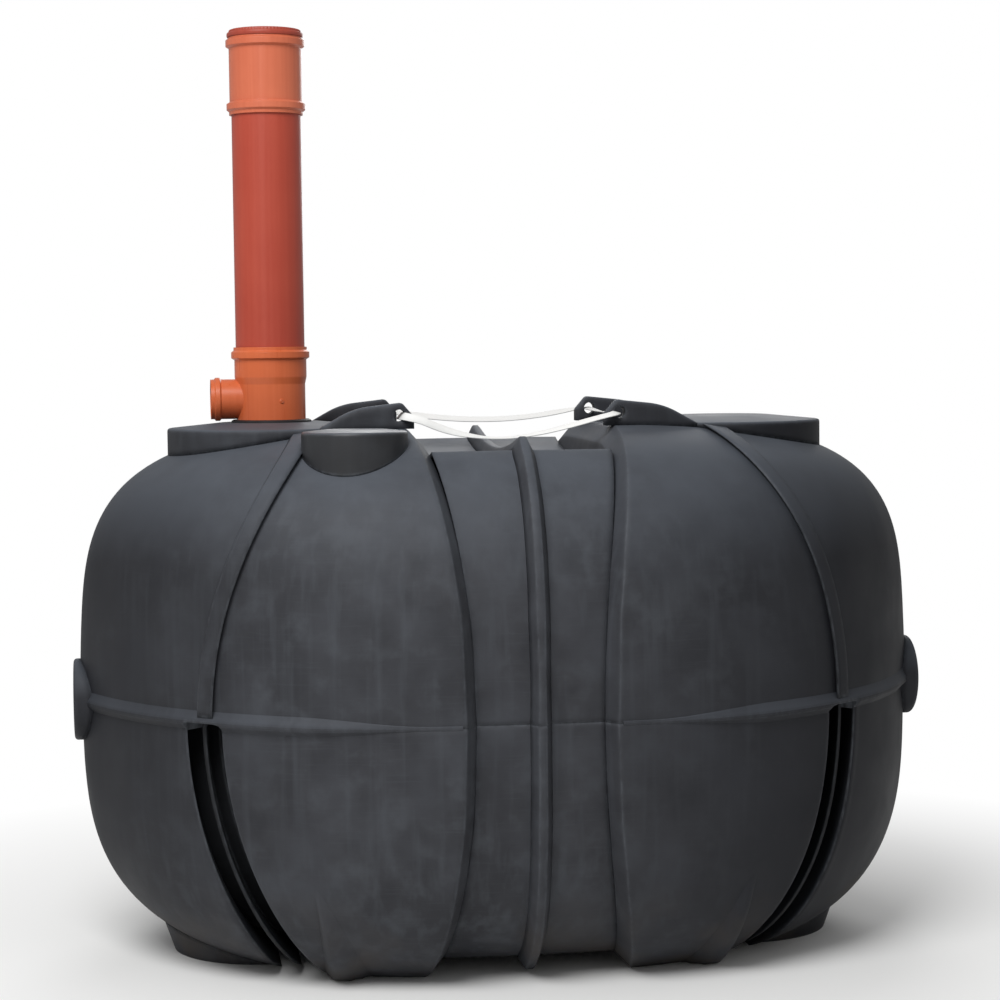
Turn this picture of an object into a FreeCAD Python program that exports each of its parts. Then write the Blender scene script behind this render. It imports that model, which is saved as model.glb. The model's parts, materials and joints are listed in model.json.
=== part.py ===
import FreeCAD, Part
import math
import os
import Sketcher

doc = FreeCAD.newDocument("holding_tank")
dims = doc.addObject("Spreadsheet::Sheet", "dims")

SIZES = [
    ("half_length", 1226, "shell, middle to end, at the seam"),
    ("half_width", 832, "shell, middle to side, at the seam"),
    ("seam_height", 740, "mould seam above the ground"),
    ("crown_rise", 778, "flat crown of the lobes above the seam"),
    ("crown_cut", 12, "height that the flat crown takes off the upper curve"),
    ("belly_cut", 60, "height that the flat belly takes off the lower curve"),
    ("plan_length_power", 2.7, "flatness of the sides seen from above"),
    ("plan_width_power", 1.35, "bluntness of the ends at the seam, seen from above"),
    ("plan_cap_power", 2.0, "bluntness of the ends at crown and belly, seen from above"),
    ("upper_power", 4.1, "squareness of the upper outline seen from the side"),
    ("lower_power", 3.4, "squareness of the lower outline seen from the side"),
    ("width_power", 3.2, "squareness of the outline seen from the end"),
    ("wall", 10, "moulded wall"),
    ("waist_half", 175, "waist, middle to edge, at the seam"),
    ("waist_arc", 3400, "radius of the waist edge seen from the side"),
    ("waist_recess", 48, "waist below the lobe sides and belly"),
    ("waist_draft", 34, "slope of the lobe flanks, along the tank"),
    ("waist_dip", 6, "waist curve below the lobe curve on top"),
    ("trough_half", 515, "half width of the trough over the waist"),
    ("trough_edge", 53, "edges of the trough below the crown"),
    ("trough_depth", 50, "depth of that trough"),
    ("end_inset", 338, "shell end to end rib at the seam"),
    ("end_arc", 1150, "radius of the end rib seen from the side"),
    ("channel_width", 92, "channel in the lower half"),
    ("channel_depth", 84, "channel floor below the shell"),
    ("channel_rib_width", 10, "thin rib in the channel"),
    ("channel_rib_rise", 70, "thin rib above the channel floor"),
    ("end_rib_width", 40, "flat rib on the upper half"),
    ("end_rib_rise", 12, "flat rib above the shell"),
    ("ring_width", 60, "ring rib round the waist, at its foot"),
    ("ring_crest", 22, "ring rib, at its crest"),
    ("ring_rise", 36, "ring rib above the waist"),
    ("band_height", 64, "seam band, top to bottom"),
    ("band_rise", 20, "seam band beyond the shell at the ends"),
    ("band_side", 2, "seam band beyond the shell at the waist"),
    ("band_swell", 0.25, "fuller outline of the seam band between end and waist"),
    ("hub_radius", 118, "end hub"),
    ("hub_reach", 24, "end hub beyond the shell"),
    ("hub_round", 10, "rounded rim of the end hub"),
    ("pad_inset", 561, "shell end to the middle of an access pad"),
    ("pad_radius", 302, "access pad"),
    ("pad_rise", 18, "middle of the access pads above the crown"),
    ("pad_flat", 150, "level middle of a pad, radius"),
    ("pad_drop", 15, "fall of the pad top to its rim"),
    ("pad_round", 8, "rounded rim of pads and boss"),
    ("boss_along", 205, "pad middle to boss middle, along the tank"),
    ("boss_gap", 46, "pad rim to boss rim"),
    ("boss_radius", 147, "shoulder boss"),
    ("boss_rise", 7, "shoulder boss above the crown"),
    ("boss_drop", 6, "fall of the boss top to its rim"),
    ("boss_flat", 90, "level middle of the boss, radius"),
    ("lug_nose", 275, "middle to lug nose, along the tank"),
    ("lug_y", 252, "middle to lug, across the tank"),
    ("lug_length", 300, "lug, nose to tail"),
    ("lug_rise", 74, "top of the lugs above the crown"),
    ("lug_root", 60, "lug below the crown at the nose"),
    ("lug_slope_in", 34, "sloped nose of a lug, along the tank"),
    ("lug_slope_down", 40, "sloped nose of a lug, height"),
    ("lug_thick", 48, "lug, side to side"),
    ("lug_back_in", 170, "nose to the bend in a lug's back"),
    ("lug_back_drop", 15, "that bend below the lug top"),
    ("lug_back_round", 220, "roundness of that bend"),
    ("lug_tail_drop", 14, "lug tail below the crown"),
    ("lug_round", 14, "rounded nose of the lugs"),
    ("lug_edge", 7, "rounded top edges of the lugs"),
    ("lug_hole_radius", 17, "hole for the strap"),
    ("lug_hole_in", 42, "nose to strap hole"),
    ("lug_hole_down", 36, "lug top to strap hole"),
    ("foot_inset", 526, "shell end to the middle of an end foot"),
    ("foot_radius", 275, "end foot on the ground"),
    ("foot_flare", 70, "end foot wider at its top"),
    ("foot_rise", 200, "end foot up into the shell"),
    ("flute_radius", 34, "flute on the lobe foot, at the ground"),
    ("flute_tip", 4, "flute at its tip"),
    ("flute_rise", 285, "flute tip above the ground"),
    ("flute_foot_x", 520, "middle to flute on the ground, along the tank"),
    ("flute_tip_x", 590, "middle to flute tip, along the tank"),
    ("flute_sink", 10, "middle line of the flute inside the shell"),
    ("pipe_radius", 100, "riser pipe, outside"),
    ("pipe_wall", 6, "riser pipe wall"),
    ("pipe_show", 670, "riser pipe between tee and coupler"),
    ("socket_gap", 0.5, "pipe to socket, all round"),
    ("socket_wall", 4, "socket wall"),
    ("socket_stop", 4, "pipe end to the bottom of a socket"),
    ("bead_rise", 9, "bead beyond a socket"),
    ("bead_height", 28, "bead, top to bottom"),
    ("rim_height", 9, "plain rim beyond the bead"),
    ("tee_spigot", 90, "tee below the pad top"),
    ("tee_neck", 111, "tee, pad to the start of the socket"),
    ("tee_flare", 20, "slope from tee body to socket"),
    ("tee_socket", 87, "tee socket depth"),
    ("branch_height", 68, "branch middle above the pad"),
    ("branch_reach", 175, "riser middle to branch mouth"),
    ("branch_bore", 55.2, "branch socket, inside radius"),
    ("branch_wall", 2.6, "branch socket wall"),
    ("branch_depth", 62, "branch socket depth"),
    ("branch_way", 52, "radius of the way from branch to riser"),
    ("branch_bead_rise", 5, "bead beyond the branch socket"),
    ("branch_bead_length", 20, "that bead along the branch"),
    ("branch_lip", 10, "plain lip beyond that bead"),
    ("coupler_height", 222, "coupler, end to end"),
    ("coupler_stop", 8, "stop ring in the coupler, thickness"),
    ("plug_flange_radius", 110, "plug flange"),
    ("plug_flange_height", 13, "plug flange"),
    ("plug_top_radius", 104, "plug top step"),
    ("plug_top_height", 16, "plug top step"),
    ("plug_plate", 5, "plug plate and skirt thickness"),
    ("plug_skirt", 70, "plug skirt inside the coupler"),
    ("seal_thick", 6, "rubber seal inside the pad hole"),
    ("seal_radius", 116, "rubber seal, outside"),
    ("seal_height", 8, "rubber seal above the pad"),
    ("strap_radius", 6, "lifting strap, taken as round"),
]
for row, (alias, value, note) in enumerate(SIZES, start=1):
    dims.set("A%d" % row, note)
    dims.set("B%d" % row, str(value))
    dims.setAlias("B%d" % row, alias)
doc.recompute()


def size(alias):
    return float(getattr(dims, alias))


# Shell forms: plan outlines stacked from the seam to a flat crown or belly.
def planOutline(halfLength, halfWidth, z, share=0.0, swell=0.0):
    blunt = size("plan_width_power") + share ** 2 * (size("plan_cap_power") - size("plan_width_power"))
    alongPower, acrossPower = 2.0 / (size("plan_length_power") + swell), 2.0 / blunt
    points = []
    for step in range(24):
        turn = math.radians(15.0 * step)
        c, s = math.cos(turn), math.sin(turn)
        x = math.copysign(abs(c) ** alongPower, c) * halfLength
        y = math.copysign(abs(s) ** acrossPower, s) * halfWidth
        points.append(FreeCAD.Vector(x, y, z))
    curve = Part.BSplineCurve()
    evenSteps = [float(step) for step in range(len(points) + 1)]
    curve.interpolate(Points=points, PeriodicFlag=True, Parameters=evenSteps)
    return Part.Wire(curve.toShape())


def shellForm(rise, capGap, direction, sideInset):
    halfLength = size("half_length") - sideInset
    halfWidth = size("half_width") - sideInset
    lp = size("upper_power") if direction > 0 else size("lower_power")
    wp = size("width_power")
    capShare = capGap / rise
    capTurn = math.asin(capShare ** (lp / 2.0))
    wires = []
    for step in range(9):
        share = math.sin(capTurn * step / 8.0) ** (2.0 / lp)
        x = halfLength * (1.0 - share ** lp) ** (1.0 / lp)
        y = halfWidth * (1.0 - share ** wp) ** (1.0 / wp)
        wires.append(planOutline(x, y, size("seam_height") + direction * rise * share, share))
    return Part.makeLoft(wires, True, False)


def upperForm(sideInset, topInset):
    gap = size("crown_rise") - topInset
    return shellForm(gap + size("crown_cut"), gap, 1, sideInset)


def lowerForm(sideInset, bottomInset):
    gap = size("seam_height") - bottomInset
    return shellForm(gap + size("belly_cut"), gap, -1, sideInset)


def crossCylinder(radius, x, z):
    reach = 2.0 * size("half_width")
    return Part.makeCylinder(radius, 2.0 * reach, FreeCAD.Vector(x, -reach, z), FreeCAD.Vector(0, 1, 0))


def lobeSide(shrink):
    radius = size("waist_arc")
    return crossCylinder(radius - shrink, -size("waist_half") - radius, size("seam_height"))


def insideEnd(grow):
    radius = size("end_arc")
    return crossCylinder(radius + grow, radius + size("end_inset") - size("half_length"), size("seam_height"))


def slab(halfThick):
    wide = 4.0 * size("half_width")
    corner = FreeCAD.Vector(-halfThick, -wide / 2.0, -wide / 2.0)
    return Part.makeBox(2.0 * halfThick, wide, 2.0 * wide, corner)


def leftHalf():
    long = 2.0 * size("half_length")
    return Part.makeBox(long, 2.0 * long, 4.0 * long, FreeCAD.Vector(-long, -long, -long))


def trough(shrink):
    half, depth = size("trough_half"), size("trough_depth")
    radius = (half ** 2 + depth ** 2) / (2.0 * depth)
    crest = size("seam_height") + size("crown_rise") - size("trough_edge")
    long = 3.0 * size("waist_half")
    start = FreeCAD.Vector(-long, 0, crest - depth + radius)
    return Part.makeCylinder(radius - shrink, 2.0 * long, start, FreeCAD.Vector(1, 0, 0))


# Flank tools: the room outside a sloped flank that runs round the waist, from seam to seam.
def flankCurve(direction, inset, lift, away):
    rise = (size("crown_rise") + size("crown_cut")) if direction > 0 else (size("seam_height") + size("belly_cut"))
    cap = size("crown_rise") if direction > 0 else size("seam_height")
    width = size("half_width") - inset
    power = 2.0 / size("width_power")
    half, depth = size("trough_half"), size("trough_depth")
    spots = []
    for step in range(-1, 26):
        turn = math.radians(min(max(7.5 * step, 0.0), 180.0))
        y = -math.copysign(abs(math.cos(turn)) ** power, math.cos(turn)) * width
        h = min((rise - inset + lift) * math.sin(turn) ** power, cap - inset + lift)
        if lift > 0:
            sag = depth * (1.0 - (y / half) ** 2)
            h = min(h, size("crown_rise") - size("trough_edge") - sag + size("waist_recess") - inset)
        if step < 0 or step > 24:
            h = -2.0 * size("wall")
        spots.append(FreeCAD.Vector(away(h), y, size("seam_height") + direction * h))
    curve = Part.BSplineCurve()
    curve.interpolate(Points=spots, Parameters=[float(step) for step in range(len(spots))])
    return curve.toShape()


def flankTool(direction, outer, inner, away, lift=0.0):
    rows = [flankCurve(direction, inset, lift, lambda h: away(h, inset)) for inset in (outer, inner)]
    reach = 2.0 * size("waist_draft")
    return Part.makeRuledSurface(rows[0], rows[1]).extrude(FreeCAD.Vector(reach, 0, 0))


def lobeFlank(h, inset):
    radius = size("waist_arc")
    foot = -size("waist_half") - radius + math.sqrt(radius ** 2 - h ** 2)
    return foot - size("waist_draft") * (1.0 - inset / size("waist_recess"))


def ringFlank(h, inset):
    slope = (size("ring_width") - size("ring_crest")) / 2.0 / size("ring_rise")
    return size("ring_width") / 2.0 - slope * (size("waist_recess") - inset)


wall = size("wall")
recess = size("waist_recess")
dip = size("waist_dip")
half = size("channel_width") / 2.0
upperSkin = upperForm(0, 0)
lowerSkin = lowerForm(0, 0)
upperHollow = upperForm(wall, wall)
lowerHollow = lowerForm(wall, wall)
upperCore = upperForm(recess + wall, recess + wall).cut(trough(-wall))
lowerCore = lowerForm(recess + wall, recess + wall)
upperWaistSkin = upperForm(recess, dip).cut(trough(0))
lowerWaistSkin = lowerForm(recess, recess)
deepCore = lowerForm(size("channel_depth") + wall, size("channel_depth") + wall)
flankWall = wall * math.hypot(1.0, size("waist_draft") / recess)
upperFlank = flankTool(1, -2.0 * wall, recess + wall, lobeFlank)
lowerFlank = flankTool(-1, -2.0 * wall, recess + wall, lobeFlank)
upperFlankInside = upperFlank.translated(FreeCAD.Vector(-flankWall, 0, 0))
lowerFlankInside = lowerFlank.translated(FreeCAD.Vector(-flankWall, 0, 0))
waistGap = slab(2.0 * size("waist_half")).cut(lobeSide(0))
waistGap = waistGap.cut(lobeSide(0).mirror(FreeCAD.Vector(), FreeCAD.Vector(1, 0, 0)))
padMiddle = FreeCAD.Vector(size("pad_inset") - size("half_length"), 0, size("seam_height"))
padHole = Part.makeCylinder(size("pad_radius") - wall, 2.0 * size("crown_rise"), padMiddle)
hubHole = Part.makeCylinder(size("hub_radius") - wall, size("half_length"),
                            FreeCAD.Vector(-1.5 * size("half_length"), 0, size("seam_height")),
                            FreeCAD.Vector(1, 0, 0))
print("forms made")


def solidOf(shape):
    return max(shape.Solids, key=lambda solid: solid.Volume).removeSplitter()


def feature(label, shape):
    item = doc.addObject("Part::Feature", label)
    item.Shape = shape
    item.Label = label
    return item


def mirrored(label, source, normal):
    item = doc.addObject("Part::Mirroring", label)
    item.Source = source
    item.Normal = normal
    item.Label = label
    return item


def cut(label, base, tool):
    item = doc.addObject("Part::Cut", label)
    item.Base = base
    item.Tool = tool
    item.Label = label
    return item


ALONG = FreeCAD.Vector(1, 0, 0)
ACROSS = FreeCAD.Vector(0, 1, 0)
nodes = []


def keep(*items):
    nodes.extend(items)


# Upper shell bands.
lobe = upperSkin.common(lobeSide(0)).common(insideEnd(0)).cut(upperFlank)
lobe = lobe.cut(upperHollow.common(lobeSide(wall)).cut(upperFlankInside)).cut(upperCore).cut(padHole)
lobeBlank = feature("upper_lobe_blank", solidOf(lobe))
end = upperSkin.common(leftHalf()).cut(insideEnd(0)).cut(upperHollow).cut(padHole).cut(hubHole)
upperLeftEnd = feature("upper_left_end", solidOf(end))
upperRightEnd = mirrored("upper_right_end", upperLeftEnd, ALONG)
waist = upperWaistSkin.cut(upperForm(recess + wall, dip + wall).cut(trough(-wall))).common(waistGap)
upperWaist = feature("upper_waist", solidOf(waist))
print("upper shell made")

# Lower shell bands and channels.
lobe = lowerSkin.common(lobeSide(0)).common(insideEnd(-half)).cut(lowerFlank)
lobeHollow = lowerHollow.common(lobeSide(wall)).common(insideEnd(-half - wall)).cut(lowerFlankInside)
lobe = lobe.cut(lobeHollow).cut(deepCore).cut(lowerCore.common(slab(2.0 * size("waist_half"))))
lowerLeftLobe = feature("lower_left_lobe", solidOf(lobe))
lowerRightLobe = mirrored("lower_right_lobe", lowerLeftLobe, ALONG)
end = lowerSkin.common(leftHalf()).cut(insideEnd(half))
end = end.cut(lowerHollow.cut(insideEnd(half + wall))).cut(deepCore).cut(hubHole)
lowerLeftEnd = feature("lower_left_end", solidOf(end))
lowerRightEnd = mirrored("lower_right_end", lowerLeftEnd, ALONG)
waist = lowerWaistSkin.cut(lowerCore).common(waistGap)
lowerWaist = feature("lower_waist", solidOf(waist))
ribRise = size("channel_rib_rise")
ribHalf = size("channel_rib_width") / 2.0
deep = size("channel_depth")
channelSkin = lowerForm(deep, deep)
floor = channelSkin.cut(deepCore).common(leftHalf()).common(insideEnd(half)).cut(insideEnd(-half))
fin = lowerForm(deep - ribRise, deep - ribRise).cut(channelSkin).common(leftHalf())
fin = fin.common(insideEnd(ribHalf)).cut(insideEnd(-ribHalf))
leftChannel = feature("lower_left_channel", solidOf(solidOf(floor).fuse(solidOf(fin))))
rightChannel = mirrored("lower_right_channel", leftChannel, ALONG)
print("lower shell made")

# Seam band: proud at the ends, flush along the sides.
bandHalf = size("band_height") / 2.0
seam = size("seam_height")
bandEdge = planOutline(size("half_length") - 1, size("half_width") - 1, seam - bandHalf)
bandCrest = planOutline(size("half_length") + size("band_rise"), size("half_width") + size("band_side"), seam,
                        0.0, size("band_swell"))
bandTop = bandEdge.translated(FreeCAD.Vector(0, 0, 2 * bandHalf))
bandForm = Part.makeLoft([bandEdge, bandCrest, bandTop], True, True)
band = bandForm.cut(upperSkin).cut(lowerSkin).common(lobeSide(0).translated(FreeCAD.Vector(-size("waist_draft"), 0, 0)))
hub = Part.makeCylinder(size("hub_radius"), size("half_length"),
                        FreeCAD.Vector(-1.5 * size("half_length"), 0, seam), ALONG)
band = band.cut(hub)
front = [solid for solid in band.Solids if solid.CenterOfMass.y < 0]
leftFrontBand = feature("left_front_seam_band", solidOf(Part.Compound(front)))
leftBackBand = mirrored("left_back_seam_band", leftFrontBand, ACROSS)
rightFrontBand = mirrored("right_front_seam_band", leftFrontBand, ALONG)
rightBackBand = mirrored("right_back_seam_band", leftBackBand, ALONG)

# Flat ribs between lobe and end on the upper half, broken by the pad and, at the left front, the boss.
rise = size("end_rib_rise")
ribHalf = size("end_rib_width") / 2.0
padDrum = Part.makeCylinder(size("pad_radius"), 2.0 * size("crown_rise"), padMiddle)
bossReach = size("pad_radius") + size("boss_radius") + size("boss_gap")
bossMiddle = padMiddle + FreeCAD.Vector(size("boss_along"), -math.sqrt(bossReach ** 2 - size("boss_along") ** 2), 0)
bossDrum = Part.makeCylinder(size("boss_radius"), 2.0 * size("crown_rise"), bossMiddle)
ribs = upperForm(-rise, -rise).cut(upperSkin).common(leftHalf())
ribs = ribs.common(insideEnd(ribHalf)).cut(insideEnd(-ribHalf)).cut(padDrum).cut(bandForm)
front = [solid for solid in ribs.Solids if solid.CenterOfMass.y < 0]
leftFrontRib = feature("upper_left_front_rib", solidOf(Part.Compound(front).cut(bossDrum)))
back = [solid for solid in ribs.Solids if solid.CenterOfMass.y > 0]
leftBackRib = feature("upper_left_back_rib", solidOf(Part.Compound(back)))
rightBackRib = mirrored("upper_right_back_rib", leftBackRib, ALONG)
rightFrontRib = mirrored("upper_right_front_rib", rightBackRib, ACROSS)

# Ring rib round the waist.
rise = size("ring_rise")
MIDDLE = FreeCAD.Vector()


def slopedRing(ring, direction, lift):
    side = flankTool(direction, recess - rise - wall, recess + wall, ringFlank, lift)
    ring = ring.common(slab(size("ring_width") / 2.0 + wall)).cut(side)
    return solidOf(ring.cut(side.mirror(MIDDLE, ALONG)))


ring = upperForm(recess - rise, dip - rise).cut(trough(rise)).cut(upperWaistSkin)
upperRing = feature("upper_ring_rib", slopedRing(ring, 1, recess - dip))
ring = lowerForm(recess - rise, recess - rise).cut(lowerWaistSkin)
lowerRing = feature("lower_ring_rib", slopedRing(ring, -1, 0.0))

print("ribs and bands made")


# Parametric pieces: primitives and bodies bound to the sheet.
def drum(label, radius, height, x, y, z):
    item = doc.addObject("Part::Cylinder", label)
    item.setExpression("Radius", radius)
    item.setExpression("Height", height)
    item.setExpression("Placement.Base.x", x)
    item.setExpression("Placement.Base.y", y)
    item.setExpression("Placement.Base.z", z)
    return item


def originPlane(body, role):
    return [item for item in body.Origin.OriginFeatures if item.Role == role][0]


def profileSketch(body, name, points, raiseBy=None):
    sketch = body.newObject("Sketcher::SketchObject", name)
    sketch.AttachmentSupport = [(originPlane(body, "XZ_Plane"), "")]
    sketch.MapMode = "FlatFace"
    if raiseBy:
        sketch.setExpression("AttachmentOffset.Base.y", raiseBy)
    spots = [FreeCAD.Vector(float(dims.evalExpression(x)), float(dims.evalExpression(y)), 0) for x, y in points]
    count = len(points)
    for i in range(count):
        sketch.addGeometry(Part.LineSegment(spots[i], spots[(i + 1) % count]), False)
    for i in range(count):
        sketch.addConstraint(Sketcher.Constraint("Coincident", i, 2, (i + 1) % count, 1))
    for i, (x, y) in enumerate(points):
        for kind, text, axis, value in (("DistanceX", x, -2, spots[i].x), ("DistanceY", y, -1, spots[i].y)):
            if text == "0":
                sketch.addConstraint(Sketcher.Constraint("PointOnObject", i, 1, axis))
            else:
                spot = sketch.addConstraint(Sketcher.Constraint(kind, -1, 1, i, 1, value))
                sketch.setExpression("Constraints[%d]" % spot, text.replace("<<", "").replace(">>", ""))
    return sketch


def turn(body, kind, name, points, axis="V_Axis", raiseBy=None):
    sketch = profileSketch(body, name + "_sketch", points, raiseBy)
    item = body.newObject(kind, name)
    item.Profile = sketch
    item.ReferenceAxis = (sketch, [axis])
    item.Angle = 360.0
    return item


def bodyAt(label, x, y, z):
    body = doc.addObject("PartDesign::Body", label)
    body.setExpression("Placement.Base.x", x)
    body.setExpression("Placement.Base.y", y)
    body.setExpression("Placement.Base.z", z)
    return body


upperSolid = feature("upper_skin_form", upperSkin)
lowerSolid = feature("lower_skin_form", lowerSkin)

# Access pads and shoulder boss: turned cups with a domed top and a rounded rim, seated on the skin.
padX = "dims.pad_inset - dims.half_length"
seamZ = "dims.seam_height"
crownZ = "dims.seam_height + dims.crown_rise"


def domedCup(label, name, x, y, hollow=True):
    body = bodyAt(label, x, y, seamZ)
    top = "dims.crown_rise + dims.%s_rise" % name
    rimTop = top + " - dims.%s_drop" % name
    radius = "dims.%s_radius" % name
    flat = "dims.%s_flat" % name
    outside = [(radius, "0"), (radius, rimTop), (flat, top), ("0", top)]
    inside = [("0", top + " - dims.wall"), (flat, top + " - dims.wall"),
              (radius + " - dims.wall", rimTop + " - dims.wall"), (radius + " - dims.wall", "0")]
    cup = turn(body, "PartDesign::Revolution", label + "_cup", outside + (inside if hollow else [("0", "0")]))
    doc.recompute()
    outer = [n for n, edge in enumerate(cup.Shape.Edges, start=1)
             if isinstance(edge.Curve, Part.Circle) and edge.BoundBox.ZMin > size("crown_rise") / 2
             and abs(edge.Curve.Radius - size(name + "_radius")) < 0.01]
    rounded = body.newObject("PartDesign::Fillet", label + "_rim")
    rounded.Base = (cup, ["Edge%d" % n for n in outer])
    rounded.setExpression("Radius", "dims.pad_round")
    return body


padBlank = cut("pad_blank", domedCup("pad_body", "pad", padX, "0"), upperSolid)
rightPad = mirrored("right_access_pad", padBlank, ALONG)
padBore = drum("pad_bore", "dims.pipe_radius + dims.seal_thick", "2 * dims.crown_rise", padX, "0", seamZ)
leftPad = cut("left_access_pad", padBlank, padBore)
bossX = padX + " + dims.boss_along"
bossY = "-sqrt((dims.pad_radius + dims.boss_radius + dims.boss_gap)^2 - dims.boss_along^2)"
shoulderBoss = cut("front_shoulder_boss", domedCup("boss_body", "boss", bossX, bossY), upperSolid)
bossHole = drum("boss_hole", "dims.boss_radius - dims.wall", "2 * dims.crown_rise", bossX, bossY, seamZ)
upperLeftLobe = cut("upper_left_lobe", lobeBlank, bossHole)
upperRightLobe = mirrored("upper_right_lobe", lobeBlank, ALONG)

# End hubs: turned cups with a rounded rim.
hubBody = bodyAt("hub_body", "-dims.half_length / 2", "0", "dims.seam_height")
hubBody.Placement.Rotation = FreeCAD.Rotation(FreeCAD.Vector(0, 1, 0), -90)
hubTop = "dims.half_length / 2 + dims.hub_reach"
hubCup = turn(hubBody, "PartDesign::Revolution", "hub_cup",
              [("dims.hub_radius - dims.wall", "0"), ("dims.hub_radius", "0"), ("dims.hub_radius", hubTop),
               ("0", hubTop), ("0", hubTop + " - dims.wall"),
               ("dims.hub_radius - dims.wall", hubTop + " - dims.wall")])
doc.recompute()
rim = [n for n, edge in enumerate(hubCup.Shape.Edges, start=1)
       if isinstance(edge.Curve, Part.Circle) and abs(edge.Curve.Radius - size("hub_radius")) < 0.01
       and edge.BoundBox.ZMin > size("half_length") / 4]
hubFillet = hubBody.newObject("PartDesign::Fillet", "hub_rim")
hubFillet.Base = (hubCup, ["Edge%d" % n for n in rim])
hubFillet.setExpression("Radius", "dims.hub_round")
leftHub = cut("left_end_hub", cut("hub_above", hubBody, upperSolid), lowerSolid)
rightHub = mirrored("right_end_hub", leftHub, ALONG)

# End feet: drafted stubs under the ends.
footCone = doc.addObject("Part::Cone", "foot_cone")
footCone.setExpression("Radius1", "dims.foot_radius")
footCone.setExpression("Radius2", "dims.foot_radius + dims.foot_flare")
footCone.setExpression("Height", "dims.foot_rise")
footCone.setExpression("Placement.Base.x", "dims.foot_inset - dims.half_length")
leftFoot = cut("left_end_foot", footCone, lowerSolid)
rightFoot = mirrored("right_end_foot", leftFoot, ALONG)


# Flutes: tapered ridges that stiffen the feet of the lobes.
def shellSide(x, z):
    share = (size("seam_height") - z) / (size("seam_height") + size("belly_cut"))
    wide = size("half_width") * (1.0 - share ** size("width_power")) ** (1.0 / size("width_power"))
    long = size("half_length") * (1.0 - share ** size("lower_power")) ** (1.0 / size("lower_power"))
    blunt = size("plan_width_power") + share ** 2 * (size("plan_cap_power") - size("plan_width_power"))
    return wide * (1.0 - (x / long) ** size("plan_length_power")) ** (1.0 / blunt)


def fluteSpot(share):
    x = size("flute_foot_x") + share * (size("flute_tip_x") - size("flute_foot_x"))
    z = share * size("flute_rise")
    return FreeCAD.Vector(-x, size("flute_sink") - shellSide(x, z), z)


FLUTE_STEPS = 6
rings = []
for step in range(FLUTE_STEPS + 1):
    share = step / FLUTE_STEPS
    along = fluteSpot(min(share + 0.05, 1.0)) - fluteSpot(max(share - 0.05, 0.0))
    radius = size("flute_radius") + share * (size("flute_tip") - size("flute_radius"))
    rings.append(Part.Wire(Part.makeCircle(radius, fluteSpot(share), along)))
flute = Part.makeLoft(rings, True)
ground = Part.makeBox(4 * size("half_length"), 4 * size("half_width"), size("half_length"),
                      FreeCAD.Vector(-2 * size("half_length"), -2 * size("half_width"), -size("half_length")))
leftFrontFlute = feature("left_front_flute", solidOf(flute.cut(lowerSkin).cut(ground)))
leftBackFlute = mirrored("left_back_flute", leftFrontFlute, ACROSS)
rightFrontFlute = mirrored("right_front_flute", leftFrontFlute, ALONG)
rightBackFlute = mirrored("right_back_flute", leftBackFlute, ALONG)

# Lifting lugs: a fin that rises from the pad to a rounded nose, with a cross hole.
lugBody = bodyAt("lug_body", "-dims.lug_nose - dims.lug_length", "-dims.lug_y", crownZ)
lugEnd = "dims.lug_length"
lugSketch = profileSketch(lugBody, "lug_outline",
                          [("0", "-dims.lug_root"), (lugEnd, "-dims.lug_root"),
                           (lugEnd, "dims.lug_rise - dims.lug_slope_down"),
                           (lugEnd + " - dims.lug_slope_in", "dims.lug_rise"),
                           (lugEnd + " - dims.lug_back_in", "dims.lug_rise - dims.lug_back_drop"),
                           ("0", "-dims.lug_tail_drop")])
lugPad = lugBody.newObject("PartDesign::Pad", "lug_fin")
lugPad.Profile = lugSketch
lugPad.SideType = "Symmetric"
lugPad.setExpression("Length", "dims.lug_thick")
doc.recompute()


def lugRounding(name, base, radius, wanted):
    rounded = lugBody.newObject("PartDesign::Fillet", name)
    names = ["Edge%d" % n for n, edge in enumerate(base.Shape.Edges, start=1) if wanted(edge.BoundBox)]
    rounded.Base = (base, names)
    rounded.setExpression("Radius", radius)
    doc.recompute()
    return rounded


bendX = size("lug_length") - size("lug_back_in")
lugTip = lugRounding("lug_nose_round", lugPad, "dims.lug_round",
                     lambda box: box.YLength > size("lug_thick") / 2 and box.ZMin > 0 and box.XMin > bendX + 1)
lugBack = lugRounding("lug_back_bend", lugTip, "dims.lug_back_round",
                      lambda box: box.YLength > size("lug_thick") / 2 and abs(box.XMin - bendX) < 1)
lugRounding("lug_side_round", lugBack, "dims.lug_edge",
            lambda box: box.YLength < 1 and box.XLength > 1 and box.ZMax > 0)
lugEye = lugBody.newObject("Sketcher::SketchObject", "lug_eye")
lugEye.AttachmentSupport = [(originPlane(lugBody, "XZ_Plane"), "")]
lugEye.MapMode = "FlatFace"
eyeSpot = FreeCAD.Vector(size("lug_length") - size("lug_hole_in"), size("lug_rise") - size("lug_hole_down"), 0)
lugEye.addGeometry(Part.Circle(eyeSpot, FreeCAD.Vector(0, 0, 1), size("lug_hole_radius")), False)
for kind, value, text in (("Radius", size("lug_hole_radius"), "dims.lug_hole_radius"),
                          ("DistanceX", eyeSpot.x, "dims.lug_length - dims.lug_hole_in"),
                          ("DistanceY", eyeSpot.y, "dims.lug_rise - dims.lug_hole_down")):
    if kind == "Radius":
        spot = lugEye.addConstraint(Sketcher.Constraint(kind, 0, value))
    else:
        spot = lugEye.addConstraint(Sketcher.Constraint(kind, -1, 1, 0, 3, value))
    lugEye.setExpression("Constraints[%d]" % spot, text)
lugHole = lugBody.newObject("PartDesign::Pocket", "lug_hole")
lugHole.Profile = lugEye
lugHole.SideType = "Symmetric"
lugHole.setExpression("Length", "2 * dims.lug_thick")
padFill = domedCup("pad_fill", "pad", padX, "0", False)
leftFrontLug = cut("left_front_lug", cut("lug_seated", lugBody, upperSolid), padFill)
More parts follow.
